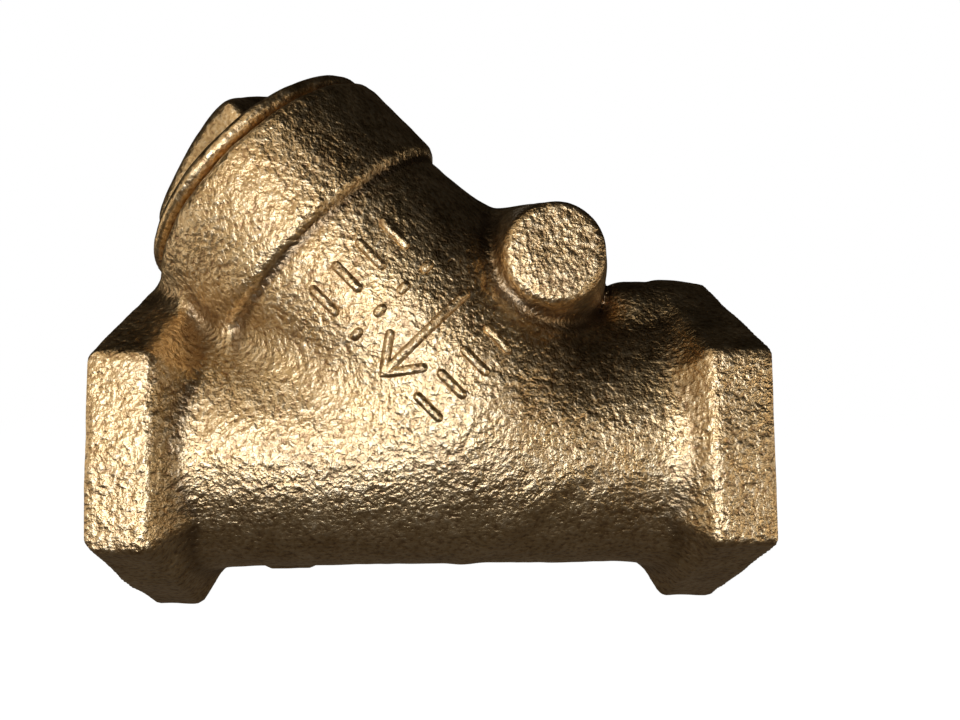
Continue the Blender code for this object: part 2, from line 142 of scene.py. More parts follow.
COTTER_RADIUS, COTTER_HEIGHT, COTTER_LOOP = 0.46, 16.5, 0.9
COTTER_REACH = NUT_FLATS / sqrt(3) + 0.9
COTTER_FRAME = NECK_FRAME @ Matrix.Translation((0, 0, COTTER_HEIGHT * MM))

MARK_RADIUS, MARK_SINK = 0.6, 0.05  # the raised marks' strokes are half-round
FLASH_X, FLASH_HALF, FLASH_RADIUS = -19, 2.2, 0.75
OUTSIDE_NECK = 26  # the radius of a cutter wider than the collar

BODY_STEP = 0.45  # spacing of the grids that fields are sampled on
CAP_STEP = 0.36
HANGER_STEP = 0.3


# ------------ meshes
def open_slots(mesh):
    """Empty material slots, which let a face keep its number through a boolean."""
    for _ in range(4):
        mesh.materials.append(None)


def add_object(name, points, faces, matrix, material=0):
    """A closed mesh from points in millimetres, faces turned outwards."""
    shape = bmesh.new()
    made = [shape.verts.new(point) for point in points]
    for face in faces:
        shape.faces.new([made[i] for i in face])
    bmesh.ops.remove_doubles(shape, verts=shape.verts, dist=1e-4)
    bmesh.ops.dissolve_degenerate(shape, edges=shape.edges, dist=1e-5)
    bmesh.ops.recalc_face_normals(shape, faces=shape.faces)
    for face in shape.faces:
        face.material_index = material
        face.smooth = True
    mesh = bpy.data.meshes.new(name)
    shape.to_mesh(mesh)
    shape.free()
    open_slots(mesh)
    mesh.transform(matrix @ Matrix.Scale(MM, 4))
    item = bpy.data.objects.new(name, mesh)
    bpy.context.scene.collection.objects.link(item)
    return item


def rounded(outline, radius, steps=3):
    """An outline with each corner replaced by an arc-like curve of about this radius."""
    points = []
    count = len(outline)
    for i in range(count):
        before, corner, after = (Vector(outline[(i + k) % count]) for k in (-1, 0, 1))
        into, out = before - corner, after - corner
        reach = min(radius, 0.45 * into.length, 0.45 * out.length)
        if corner.x < 1e-6 or reach < 0.02:
            points.append(tuple(corner))
            continue
        start, end = corner + into.normalized() * reach, corner + out.normalized() * reach
        for k in range(steps + 1):
            t = k / steps
            point = start * (1 - t) ** 2 + corner * 2 * t * (1 - t) + end * t**2
            points.append(tuple(point))
    return points


def turned(name, outline, matrix, material=0, steps=96, soften=0.0):
    """A solid of revolution about Z from its outline, a loop of (radius, height)."""
    if soften:
        outline = rounded(outline, soften)
    points, faces = [], []
    count = len(outline)
    for i in range(steps):
        turn = tau * i / steps
        points += [(r * cos(turn), r * sin(turn), h) for r, h in outline]
    for i in range(steps):
        here, there = i * count, (i + 1) % steps * count
        for j in range(count):
            k = (j + 1) % count
            radii = outline[j][0], outline[k][0]
            if max(radii) < 1e-6:
                continue
            corners = [here + j, here + k, there + k, there + j]
            if radii[0] < 1e-6:
                corners = [j, here + k, there + k]
            elif radii[1] < 1e-6:
                corners = [here + j, k, there + j]
            faces.append(corners)
    return add_object(name, points, faces, matrix, material)


def oblong(left, right, low, high):
    """A rectangle as an outline; turned about Z it makes a ring, or a rod if left is 0."""
    return [(left, low), (right, low), (right, high), (left, high)]


def prism(name, outline, low, high, matrix, material=0):
    """A straight prism along Z from its outline, a loop of (x, y)."""
    count = len(outline)
    points = [(x, y, h) for h in (low, high) for x, y in outline]
    faces = [list(range(count)), list(range(count, 2 * count))]
    for j in range(count):
        k = (j + 1) % count
        faces.append([j, k, count + k, count + j])
    return add_object(name, points, faces, matrix, material)


def polygon(sides, flats, turn=0.0):
    reach = flats / 2 / cos(pi / sides)
    turns = [turn + k * tau / sides for k in range(sides)]
    return [(reach * cos(t), reach * sin(t)) for t in turns]


def threaded(name, low, high, mean_radius, pitch, depth, matrix, material=0, taper=0.0, steps=72):
    """A rod with a right-handed thread that fades out at both ends.

    Its rows of points follow the helix.
    """
    profile = [(0.06, 0.0), (0.44, 1.0), (0.56, 1.0), (0.94, 0.0)]
    rows = len(profile)
    first, last = int(low // pitch) - 2, int(high // pitch) + 3
    levels = [(turn + phase, crest) for turn in range(first, last) for phase, crest in profile]
    points = []
    for i in range(steps):
        turn = tau * i / steps
        for level, crest in levels:
            height = pitch * (level + i / steps)
            clamped = min(max(height, low), high)
            fade = min(1.0, min(clamped - low, high - clamped) / (0.7 * pitch))
            radius = mean_radius + taper * clamped + depth * (crest * fade - 0.5)
            points.append((radius * cos(turn), radius * sin(turn), clamped))
    count = len(levels)
    faces = []
    for i in range(steps):
        step_up = rows if i == steps - 1 else 0
        here, there = i * count, (i + 1) % steps * count + step_up
        for j in range(count - 1 - step_up):
            faces.append([here + j, there + j, there + j + 1, here + j + 1])
    bottom, top = len(points), len(points) + 1
    points += [(0, 0, low), (0, 0, high)]
    last_row = count - 1
    for i in range(steps - 1):
        here, there = i * count, (i + 1) * count
        faces.append([bottom, there, here])
        faces.append([top, here + last_row, there + last_row])
    end = (steps - 1) * count
    faces.append([bottom, rows, end])
    faces += [[bottom, j, j + 1] for j in range(rows)]
    faces.append([top, end + last_row - rows, last_row])
    faces += [[top, end + last_row - j - 1, end + last_row - j] for j in range(rows)]
    return add_object(name, points, faces, matrix, material)


def swept(name, path, section, outward, matrix, round_ends=False):
    """A bar along a path; section is a closed loop of (sideways, outward) offsets."""
    path = [Vector(point) for point in path]
    outward = Vector(outward).normalized()
    rows = []
    for i, point in enumerate(path):
        along = (path[min(i + 1, len(path) - 1)] - path[max(i - 1, 0)]).normalized()
        rows.append((point, along, along.cross(outward).normalized(), 1.0))
    if round_ends:
        reach = max(abs(side) for side, _ in section)
        ends = []
        for (point, along, across, _), sign in ((rows[0], -1), (rows[-1], 1)):
            turns = [radians(t) for t in (30, 60, 80)]
            ends.append([(point + along * sign * reach * sin(t), along, across, cos(t)) for t in turns])
        rows = ends[0][::-1] + rows + ends[1]
    points = []
    for point, along, across, scale in rows:
        up = across.cross(along)
        points += [point + across * side * scale + up * out * scale for side, out in section]
    count = len(section)
    faces = [list(range(count)), list(range(len(points) - count, len(points)))]
    for i in range(len(rows) - 1):
        for j in range(count):
            k = (j + 1) % count
            faces.append([i * count + j, i * count + k, (i + 1) * count + k, (i + 1) * count + j])
    return add_object(name, points, faces, matrix)


def round_section(radius, sides=12):
    return [(radius * cos(tau * k / sides), radius * sin(tau * k / sides)) for k in range(sides)]


def softened_path(path, rounds=2):
    """Cuts the corners of an open path, again and again, until it bends smoothly."""
    path = [Vector(point) for point in path]
    for _ in range(rounds):
        cuts = [path[0]]
        for a, b in zip(path, path[1:]):
            cuts += [a * 0.75 + b * 0.25, a * 0.25 + b * 0.75]
        path = [*cuts, path[-1]]
    return path


def combined(item, operation, *tools):
    """Joins or cuts with closed tools, applies the result and removes the tools."""
    for tool in tools:
        step = item.modifiers.new(tool.name, "BOOLEAN")
        step.operation = operation
        step.solver = "MANIFOLD"
        step.object = tool
    graph = bpy.context.evaluated_depsgraph_get()
    mesh = bpy.data.meshes.new_from_object(item.evaluated_get(graph))
    item.modifiers.clear()
    old, item.data = item.data, mesh
    bpy.data.meshes.remove(old)
    for tool in tools:
        bpy.data.objects.remove(tool)
    return item


# ------------ distance fields
def smooth_min(a, b, blend):
    """The union of two fields, with a fillet about as wide as blend where they meet."""
    share = np.clip(0.5 + 0.5 * (b - a) / blend, 0, 1)
    return b + (a - b) * share - blend * share * (1 - share)


def smooth_max(a, b, blend):
    return -smooth_min(-a, -b, blend)


class Grid:
    """Points on a box-shaped lattice in millimetres, as three arrays that broadcast."""

    def __init__(self, low, high, step):
        self.low, self.step = np.array(low, np.float32), step
        axes = [np.arange(a, b, step, dtype=np.float32) for a, b in zip(low, high)]
        self.x, self.y, self.z = np.ix_(*axes)
        self.shape = tuple(len(axis) for axis in axes)

    def undulation(self, wavelength, seed):
        """Smooth random values, about -1 to 1, that vary over this wavelength."""
        values = np.random.default_rng(seed)
        spacing = wavelength / 2
        counts = [int(n * self.step / spacing) + 5 for n in self.shape]
        lattice = values.uniform(-1, 1, counts).astype(np.float32)
        for axis, n in enumerate(self.shape):
            place = np.arange(n) * self.step / spacing + 1
            base = place.astype(int)
            t = (place - base).astype(np.float32)
            weights = [(1 - t) ** 3 / 6, (3 * t**3 - 6 * t**2 + 4) / 6]
            weights += [(-3 * t**3 + 3 * t**2 + 3 * t + 1) / 6, t**3 / 6]
            shape = [1, 1, 1]
            shape[axis] = n
            parts = [
                np.take(lattice, base + k - 1, axis=axis) * weight.reshape(shape)
                for k, weight in enumerate(weights)
            ]
            lattice = sum(parts)
        return lattice * 2.2

    def sample(self, values, points):
        """Values of a sampled field at points, an array of rows, by linear steps."""
        place = (points - self.low) / self.step
        base = np.clip(place.astype(int), 0, np.array(self.shape) - 2)
        t = np.clip(place - base, 0, 1)
        total = 0
        for corner in np.ndindex(2, 2, 2):
            weight = np.prod(np.where(corner, t, 1 - t), axis=1)
            i, j, k = (base + corner).T
            total = total + weight * values[i, j, k]
        return total

    def surface(self, name, values, matrix):
        """The mesh where a field is zero."""
        lattice = openvdb.FloatGrid(float(values.max()))
        lattice.copyFromArray(np.ascontiguousarray(values, np.float32))
        points, quads = lattice.convertToQuads(0.0)
        points = points * self.step + self.low
        mesh = bpy.data.meshes.new(name)
        mesh.from_pydata(points.tolist(), [], quads[:, ::-1].tolist())
        mesh.transform(matrix @ Matrix.Scale(MM, 4))
        mesh.update()
        open_slots(mesh)
        item = bpy.data.objects.new(name, mesh)
        bpy.context.scene.collection.objects.link(item)
        if signed_volume(mesh) < 0:
            mesh.flip_normals()
        mesh.shade_smooth()
        return item


def corners_of(mesh):
    """Each triangle's three corners, as an array of shape (count, 3, 3)."""
    mesh.calc_loop_triangles()
    points = np.empty(len(mesh.vertices) * 3, np.float32)
    mesh.vertices.foreach_get("co", points)
    index = np.empty(len(mesh.loop_triangles) * 3, np.int32)
    mesh.loop_triangles.foreach_get("vertices", index)
    return points.reshape(-1, 3)[index.reshape(-1, 3)].astype(float)


def signed_volume(mesh):
    a, b, c = corners_of(mesh).transpose(1, 0, 2)
    return float(np.einsum("ij,ij->", a, np.cross(b, c)) / 6)


# ------------ materials
class Shader:
    """A node tree for one material, with a short way to add and link nodes."""

    def __init__(self, name):
        self.material = bpy.data.materials.new(name)
        self.material.use_nodes = True
        self.tree = self.material.node_tree
        self.surface = self.tree.nodes["Principled BSDF"]
        self.place = self.add("ShaderNodeTexCoord").outputs["Object"]

    def add(self, kind, settings=None, **inputs):
        node = self.tree.nodes.new(kind)
        for key, value in (settings or {}).items():
            setattr(node, key, value)
        for key, value in inputs.items():
            self.feed(node, key, value)
        return node

    def feed(self, node, key, value):
        number = int(key[1:]) if key[0] == "i" and key[1:].isdigit() else None
        socket = node.inputs[number if number is not None else key.replace("_", " ")]
        if isinstance(value, bpy.types.NodeSocket):
            self.tree.links.new(value, socket)
        else:
            socket.default_value = value

    def noise(self, size, detail=2.0, roughness=0.5, distortion=0.0, place=None):
        """Noise whose features are about this many metres across."""
        node = self.add(
            "ShaderNodeTexNoise",
            Vector=place or self.place,
            Scale=1 / size,
            Detail=detail,
            Roughness=roughness,
            Distortion=distortion,
        )
        return node.outputs["Fac"]

    def math(self, operation, a, b=0.0, clamp=False):
        node = self.add("ShaderNodeMath", {"operation": operation, "use_clamp": clamp}, i0=a, i1=b)
        return node.outputs[0]

    def ramp(self, value, *stops):
        """A colour ramp from stops of (position, colour or grey)."""
        node = self.add("ShaderNodeValToRGB", i0=value)
        elements = node.color_ramp.elements
        while len(elements) < len(stops):
            elements.new(0.5)
        for element, (position, colour) in zip(elements, stops):
            element.position = position
            grey = not hasattr(colour, "__len__")
            element.color = (colour, colour, colour, 1) if grey else (*colour, 1)
        return node.outputs["Color"]

    def blend(self, share, a, b):
        return self.add("ShaderNodeMix", {"data_type": "RGBA"}, i0=share, i6=a, i7=b).outputs[2]

    def spread(self, value, low, high):
        """A number that goes from low to high as a noise goes from 0.3 to 0.7."""
        return self.add("ShaderNodeMapRange", i0=value, i1=0.3, i2=0.7, i3=low, i4=high).outputs[0]

    def bump(self, height, distance, strength=1.0):
        node = self.add("ShaderNodeBump", Strength=strength, Distance=distance, Height=height)
        return node.outputs["Normal"]

    def attribute(self, name):
        return self.add("ShaderNodeAttribute", {"attribute_name": name}).outputs["Fac"]

    def vector(self, operation, a, b=(0, 0, 0)):
        return self.add("ShaderNodeVectorMath", {"operation": operation}, i0=a, i1=b).outputs

    def rings(self, point, axis, spacing):
        """A tool's turning marks: a wave in the distance from an axis plus that along it."""
        offset = self.vector("SUBTRACT", self.place, point)[0]
        out = self.vector("LENGTH", self.vector("CROSS_PRODUCT", offset, axis)[0])["Value"]
        path = self.math("ADD", out, self.vector("DOT_PRODUCT", offset, axis)["Value"])
        return self.math("SINE", self.math("MULTIPLY", path, tau / spacing)), path

    def finished(self, colour, roughness, normal, metallic=0.0):
        """The material, once its shader has these."""
        self.feed(self.surface, "Base_Color", colour)
        self.feed(self.surface, "Roughness", roughness)
        self.feed(self.surface, "Metallic", metallic)
        self.feed(self.surface, "Normal", normal)
        return self.material


def cast_bronze(name="cast_bronze", relief=0.00024):
    """Sand-cast bronze: an uneven skin, paler on the grain's tips from wear and a painted highlight,
    with painted shade in the grain's pits, and darker patina plus painted shade in the fillets.
    """
    s = Shader(name)
    hollow = s.math("POWER", s.attribute("hollow"), 2.0)
    broad = s.noise(0.009, 3.0, 0.6)
    patches = s.noise(0.0035, 2.0, 0.55)
    lumps = s.noise(0.0013, 1.5, 0.5)
    grain = s.noise(0.00058, 2.5, 0.55)
    fine = s.noise(0.00026, 1.5, 0.6)
    gold, brown = (0.64, 0.45, 0.215), (0.52, 0.34, 0.145)
    colour = s.ramp(broad, (0.35, brown), (0.65, gold))
    colour = s.blend(s.ramp(patches, (0.4, 0.0), (0.7, 0.3)), colour, (0.68, 0.51, 0.30, 1))
    # the grain's tips turn paler: partly wear, partly a painted highlight on the crests of the bumps
    colour = s.blend(s.ramp(grain, (0.48, 0.0), (0.68, 0.4)), colour, (0.84, 0.72, 0.52, 1))
    # painted shade: the grain's pits, the low points of the bumps, turn dark red-brown
    colour = s.blend(s.ramp(grain, (0.30, 0.7), (0.50, 0.0)), colour, (0.18, 0.08, 0.03, 1))
    # fillets and creases turn dark brown: partly patina, partly painted shade where shade falls
    colour = s.blend(s.math("MULTIPLY", hollow, 0.7, True), colour, (0.17, 0.11, 0.065, 1))
    height = s.math("ADD", s.math("ADD", lumps, s.math("MULTIPLY", fine, 0.06)), grain)
    bumps = s.bump(height, relief)
    s.feed(s.surface, "Coat_Weight", s.math("MULTIPLY", s.math("SUBTRACT", 1.0, hollow, True), 0.6))
    s.feed(s.surface, "Coat_Roughness", 0.28)
    s.feed(s.surface, "Coat_Normal", bumps)
    return s.finished(colour, s.spread(patches, 0.30, 0.39), bumps, 1.0)


def turned_bronze(name, point, axis, spacing=0.00028):
    """Freshly cut bronze with fine turning marks round an axis."""
    s = Shader(name)
    wave, path = s.rings(point, axis, spacing)
    scratches = s.add("ShaderNodeCombineXYZ", X=s.math("MULTIPLY", path, 9000.0))
    uneven = s.noise(1.0, 2.0, 0.6, place=scratches.outputs[0])
    stain = s.noise(0.004, 3.0, 0.6)
    colour = s.ramp(stain, (0.35, (0.60, 0.40, 0.17)), (0.65, (0.76, 0.55, 0.27)))
    colour = s.blend(s.ramp(uneven, (0.3, 0.3), (0.6, 0.0)), colour, (0.47, 0.30, 0.13, 1))
    height = s.math("ADD", s.math("MULTIPLY", wave, 0.4), uneven)
    return s.finished(colour, s.spread(stain, 0.24, 0.36), s.bump(height, 0.000012), 1.0)


def tumbled_bronze():
    """A small casting tumbled smooth: dull bronze with a soft, fine grain."""
    s = Shader("tumbled_bronze")
    cloud = s.noise(0.003, 3.0, 0.6)
    grain = s.noise(0.00035, 2.0, 0.5)
    colour = s.ramp(cloud, (0.35, (0.50, 0.34, 0.155)), (0.65, (0.64, 0.455, 0.225)))
    return s.finished(colour, s.spread(cloud, 0.38, 0.5), s.bump(grain, 0.00006), 1.0)


def stainless_steel():
    """Drawn steel wire and bar: faint lengthwise streaks."""
    s = Shader("stainless_steel")
    stretched = s.vector("MULTIPLY", s.place, (9000, 300, 9000))[0]
    streaks = s.noise(1.0, 3.0, 0.6, place=stretched)
    cloud = s.noise(0.003, 2.0)
    colour = s.ramp(streaks, (0.3, (0.46, 0.45, 0.43)), (0.7, (0.66, 0.65, 0.63)))
    return s.finished(colour, s.spread(cloud, 0.22, 0.36), s.bump(streaks, 0.000008), 1.0)


def soft_facing():
    """White fluoropolymer, slightly waxy, with faint turning rings."""
    s = Shader("seat_facing")
    wave, _ = s.rings(NECK_FOOT, NECK_AXIS, 0.0004)
    cloud = s.noise(0.002, 3.0, 0.6)
    colour = s.ramp(cloud, (0.3, (0.74, 0.73, 0.69)), (0.7, (0.86, 0.855, 0.83)))
    s.feed(s.surface, "Subsurface_Weight", 0.15)
    s.feed(s.surface, "Subsurface_Radius", (0.0012, 0.0012, 0.001))
    return s.finished(colour, s.spread(cloud, 0.42, 0.55), s.bump(wave, 0.00001, 0.6))


def fibre_gasket():
    """Dark compressed fibre: short felted flecks."""
    s = Shader("gasket")
    fibre = s.noise(0.00035, 4.0, 0.7, 1.5)
    colour = s.ramp(fibre, (0.35, (0.018, 0.016, 0.014)), (0.7, (0.075, 0.066, 0.056)))
    return s.finished(colour, 0.82, s.bump(fibre, 0.00006))


X_AXIS, Y_AXIS = Vector((1, 0, 0)), Vector((0, 1, 0))
CAST = cast_bronze()
CAST_SMOOTHER = cast_bronze("cast_bronze_cap", 0.00013)
TURNED_RUN = turned_bronze("turned_bronze_run", RUN_MIDDLE, X_AXIS)
TURNED_NECK = turned_bronze("turned_bronze_neck", NECK_FOOT, NECK_AXIS)
TURNED_PIN = turned_bronze("turned_bronze_pin", PIN_PLACE, Y_AXIS, 0.0002)
TUMBLED = tumbled_bronze()
STEEL = stainless_steel()
FACING = soft_facing()
GASKET = fibre_gasket()
RUN_CUT, NECK_CUT, PIN_CUT = 1, 2, 3  # slots of the machined finishes on a casting


def sharpen_cuts(mesh):
    """Makes every edge between two finishes a sharp one, whatever the angle there."""
    edges = np.empty(len(mesh.loops), np.int32)
    sizes, finish = (np.empty(len(mesh.polygons), np.int32) for _ in range(2))
    sharp = np.empty(len(mesh.edges), bool)
    mesh.loops.foreach_get("edge_index", edges)
    mesh.polygons.foreach_get("loop_total", sizes)
    mesh.polygons.foreach_get("material_index", finish)
    mesh.edges.foreach_get("use_edge_sharp", sharp)
    finish = np.repeat(finish, sizes)
    least, most = np.full(len(sharp), 9), np.zeros(len(sharp), int)
    np.minimum.at(least, edges, finish)
    np.maximum.at(most, edges, finish)
    mesh.edges.foreach_set("use_edge_sharp", sharp | (least < most))


def finish_piece(item, body, slot, *nodes, materials, sharp=40):
    """Gives a piece its materials, its creases, its body and the CAD nodes it stands for."""
    mesh = item.data
    while len(mesh.materials) > len(materials):
        mesh.materials.pop()
    for number, material in enumerate(materials):
        mesh.materials[number] = material
    mesh.shade_smooth()
    mesh.set_sharp_from_angle(angle=radians(sharp))
    sharpen_cuts(mesh)
    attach(item, body)
    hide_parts(*nodes)


def mark_hollows(item, grid, values, matrix, reach=1.0, full=0.35):
    """Stores how hollow the unworn shape is at each vertex, 0 on a ridge and 1 in a fillet, where the
    cast finish paints darker patina and shade.
    """
    mesh = item.data
    points = np.empty(len(mesh.vertices) * 3, np.float32)
    mesh.vertices.foreach_get("co", points)
    local = np.array(matrix.inverted(), float)
    points = (points.reshape(-1, 3) @ local[:3, :3].T + local[:3, 3]) / MM
    around = sum(
        grid.sample(values, points + sign * reach * np.eye(3)[axis])
        for axis in range(3)
        for sign in (-1, 1)
    )
    bend = (6 * grid.sample(values, points) - around) / reach**2
    attribute = mesh.attributes.new("hollow", "FLOAT", "POINT")
    attribute.data.foreach_set("value", np.clip(bend / full, 0, 1).astype(np.float32))


# ------------ the casting
def hexagon_reach(y, z):
    """Half the width across flats of the hexagon through each point."""
    slanted = 0.5 * abs(y) + sqrt(3) / 2 * abs(z)
    return smooth_max(abs(y) + 0 * z, slanted, 0.7)


def run_field(grid):
    """Barrel, its flares and the two hexagonal ends."""
    x, y, z = grid.x, grid.y, grid.z
    out = np.sqrt(y * y + z * z)
    side = abs(x)
    flare_length = np.where(x > 0, INLET_FLARE, OUTLET_FLARE)
    climb = np.clip((side - (HALF - HEX_LENGTH) + flare_length) / flare_length, 0, 1)
    barrel = np.maximum(out - BARREL_RADIUS - FLARE_HEIGHT * climb**3.0, side - HALF + 1)
    reach = hexagon_reach(y, z)
    inner_side = HALF - HEX_LENGTH - HEX_DRAFT * (HEX_FLATS / 2 - reach) - side
    ends = smooth_max(reach - HEX_FLATS / 2, inner_side, 0.9)
    ends = smooth_max(ends, side - HALF - 0.2, 0.6)
    slanted = 0.5 * abs(y) + sqrt(3) / 2 * abs(z) - HEX_FLATS / 2
    ends = np.maximum(ends, (slanted - x - HALF + np.where(z < 0, 1.0, 0.6)) * sqrt(0.5))
    return smooth_min(barrel, ends, 1.2)


def neck_field(grid):
    """The leaning neck, wider at its collar."""
    x = grid.x - NECK_X
    height = x * NECK_AXIS.x + grid.z * NECK_AXIS.z
    across = x * NECK_ACROSS.x + grid.z * NECK_ACROSS.z
    out = np.sqrt(across**2 + grid.y**2)
    radii = [NECK_ROOT_RADIUS - 1.2, NECK_ROOT_RADIUS, NECK_RADIUS - 0.6, NECK_RADIUS]
    radius = np.interp(height, [-4, 0, 7, 14], radii)
    radius = radius - 0.1 * np.exp(-(((height - COLLAR_BOTTOM + 0.6) / 0.7) ** 2))
    neck = smooth_max(out - radius, -4 - height, 2.0)
    collar = smooth_max(out - COLLAR_RADIUS, COLLAR_BOTTOM - height, 1.4)
    return smooth_max(smooth_min(neck, collar, 0.4), height - NECK_TOP, 1.6)


def hinge_field(grid):
    """The housing of the hinge pin, a post that tapers to a flat boss on each side."""
    out = np.hypot(grid.x - PIN_X, grid.z - PIN_Z)
    side = abs(grid.y)
    places = [0, 2, 6, BOSS_REACH]
    radii = [HOUSING_RADIUS, HOUSING_RADIUS, HOUSING_RADIUS - 1.0, BOSS_RADIUS - 0.05]
    post = out - np.interp(side, places, radii)
    return smooth_max(post, side - BOSS_REACH, 0.8)


def saddle_field(grid):
    """The web that fills the angle between neck and hinge housing along the top."""
    x, y, z = grid.x, grid.y, grid.z
    along = np.clip(PIN_X - x, 0, 20)
    top = PIN_Z + 7.75 + 0.1 * along + 0.009 * along**2
    upright = np.maximum((z - top) * 0.8, BARREL_RADIUS - 4 - z)
    return smooth_max(upright, smooth_max(abs(y) - 6.2, abs(x - PIN_X + 6) - 7.5, 2.0), 2.5)


def gusset_field(grid):
    """The round-backed shoulder between the housing and the inlet hexagon."""
    beyond = np.maximum(grid.x - HALF + 6, 0)
    back = np.sqrt(beyond**2 + grid.y**2 + (grid.z - GUSSET_HEIGHT) ** 2) - GUSSET_RADIUS
    return smooth_max(back, GUSSET_START - grid.x, 3.5)


def flash_field(grid):
    """A scab of casting flash left under the barrel."""
    along = np.maximum(abs(grid.x - FLASH_X) - FLASH_HALF, 0)
    below = grid.z + BARREL_RADIUS
    return np.sqrt(along**2 * 0.35 + grid.y**2 * 0.5 + below**2) - FLASH_RADIUS


def casting_field(grid):
    body = smooth_min(run_field(grid), gusset_field(grid), 2.2)
    body = smooth_min(body, neck_field(grid), 4.2)
    body = smooth_min(body, saddle_field(grid), 2.6)
    crease = np.interp(grid.x, [PIN_X + 3, PIN_X + 8], [1.9, 0.7]).astype(np.float32)
    body = smooth_min(body, hinge_field(grid), crease)
    return smooth_min(body, flash_field(grid), 0.6)


def outer_surface(grid, values, across, height):
    """Where a sampled field's front flank is, at a place given in the neck's frame."""
    depths = np.arange(-21.0, -10.0, 0.05)
    x = NECK_X + across * NECK_ACROSS.x + height * NECK_AXIS.x
    z = across * NECK_ACROSS.z + height * NECK_AXIS.z
    rows = np.column_stack([np.full_like(depths, x), depths, np.full_like(depths, z)])
    inside = grid.sample(values, rows) < 0
    return Vector((x, depths[np.argmax(inside)], z))


def stroke(name, grid, values, *corners):
    """A raised half-round line over the front flank through corners given as (across, height)."""
    places = [Vector(corners[0])]
    for corner in map(Vector, corners[1:]):
        steps = max(2, round((corner - places[-1]).length / 0.8))
        start = places[-1]
        places += [start.lerp(corner, k / steps) for k in range(1, steps + 1)]
    surface = [outer_surface(grid, values, *place) for place in places]
    levels = np.array([point.y for point in surface])
    padded = np.pad(levels, 2, mode="edge")
    levels = np.convolve(padded, np.ones(5) / 5, "valid") + MARK_SINK
    path = [Vector((point.x, level, point.z)) for point, level in zip(surface, levels)]
    place = Matrix.Translation(RUN_MIDDLE)
    return swept(name, path, round_section(MARK_RADIUS), (0, -1, 0), place, round_ends=True)


def relief_marks(grid, values):
    """Raised marks on the neck's front: a flow arrow between rows of plain bars and studs."""
    columns = (-5.4, -1.8, 1.8, 5.4)
    lines = [[(u, 26.3), (u, 29.7)] for u in columns]
    lines += [[(u - 0.3, 22.8), (u + 0.3, 22.8)] for u in columns]
    lines += [[(6.4, 17.6), (-6.1, 17.6)], [(-2.8, 20.2), (-6.4, 17.6), (-2.8, 15.0)]]
    lines += [[(u, 9.9), (u, 13.1)] for u in columns]
    strokes = [stroke(f"mark_{k}", grid, values, *line) for k, line in enumerate(lines)]
    return combined(strokes[0], "UNION", *strokes[1:])


def water_way_tools():
    """Cutters for the sockets' mouths and their pipe threads."""
    tools = []
    inner = HALF - SOCKET_DEPTH
    for side, place in (("inlet", INLET_FRAME), ("outlet", OUTLET_FRAME)):
        mouth = [
            (0, HALF + 1),
            (SOCKET_MOUTH + 1, HALF + 1),
            (SOCKET_MOUTH, HALF),
            (SOCKET_MOUTH - 1.6, HALF - 1.6),
            (0, HALF - 1.6),
        ]
        tools.append(turned(f"{side}_mouth", mouth, place, RUN_CUT))
        mean = PIPE_PITCH_RADIUS - PIPE_TAPER * HALF
        size = mean, PIPE_PITCH, PIPE_THREAD_DEPTH
        tools.append(threaded(f"{side}_thread", inner, HALF + 3, *size, place, RUN_CUT, PIPE_TAPER))
    return tools


def slab(name, low, high, matrix=NECK_FRAME, material=0):
    """A block wider than the valve, square to the neck's or another axis."""
    return prism(name, oblong(-60, 60, -30, 30), low, high, matrix, material)


def passage_tools():
    """The two passages, each kept off the seat's web, and the port between them."""
    inner = HALF - SOCKET_DEPTH
    inlet = turned("inlet_way", oblong(0, PASSAGE_RADIUS, -12, inner + 0.4), INLET_FRAME, RUN_CUT)
    combined(inlet, "DIFFERENCE", slab("above_underside", -WEB_HALF, 60))
    outlet = turned("outlet_way", oblong(0, PASSAGE_RADIUS, 0, inner + 0.4), OUTLET_FRAME, RUN_CUT)
    combined(outlet, "DIFFERENCE", slab("below_top", -60, WEB_HALF))
    port = oblong(0, PORT_RADIUS, -WEB_HALF - 3, SEAT_HEIGHT + 3)
    return [inlet, outlet, turned("port", port, NECK_FRAME, NECK_CUT)]


def neck_tools():
    """The cavity round the seat, the threaded bore of the neck and its flat top."""
    cavity = [
        (0, SEAT_HEIGHT),
        (SEAT_LAND_RADIUS - 0.3, SEAT_HEIGHT),
        (SEAT_LAND_RADIUS, SEAT_HEIGHT - 0.3),
        (SEAT_LAND_RADIUS, WEB_HALF),
        (CAVITY_FLOOR_RADIUS, WEB_HALF),
        (CAVITY_FLOOR_RADIUS, CAVITY_STEP - 1.3),
        (CAVITY_RADIUS, CAVITY_STEP),
        (CAVITY_RADIUS, COLLAR_BOTTOM + 1.5),
        (0, COLLAR_BOTTOM + 1.5),
    ]
    low, high = NECK_TOP - 1.0, NECK_TOP + 0.5
    mouth = [(0, low), (NECK_BORE - 0.4, low), (NECK_BORE + 1.1, high), (0, high)]
    size = NECK_BORE, CAP_PITCH, CAP_THREAD_DEPTH
    face = oblong(0, OUTSIDE_NECK, NECK_TOP, NECK_TOP + 3)
    return [
        turned("neck_cavity", cavity, NECK_FRAME, NECK_CUT),
        threaded("neck_thread", COLLAR_BOTTOM + 0.5, NECK_TOP + 3, *size, NECK_FRAME, NECK_CUT),
        turned("neck_mouth", mouth, NECK_FRAME, NECK_CUT),
        turned("neck_face", face, NECK_FRAME, NECK_CUT),
    ]


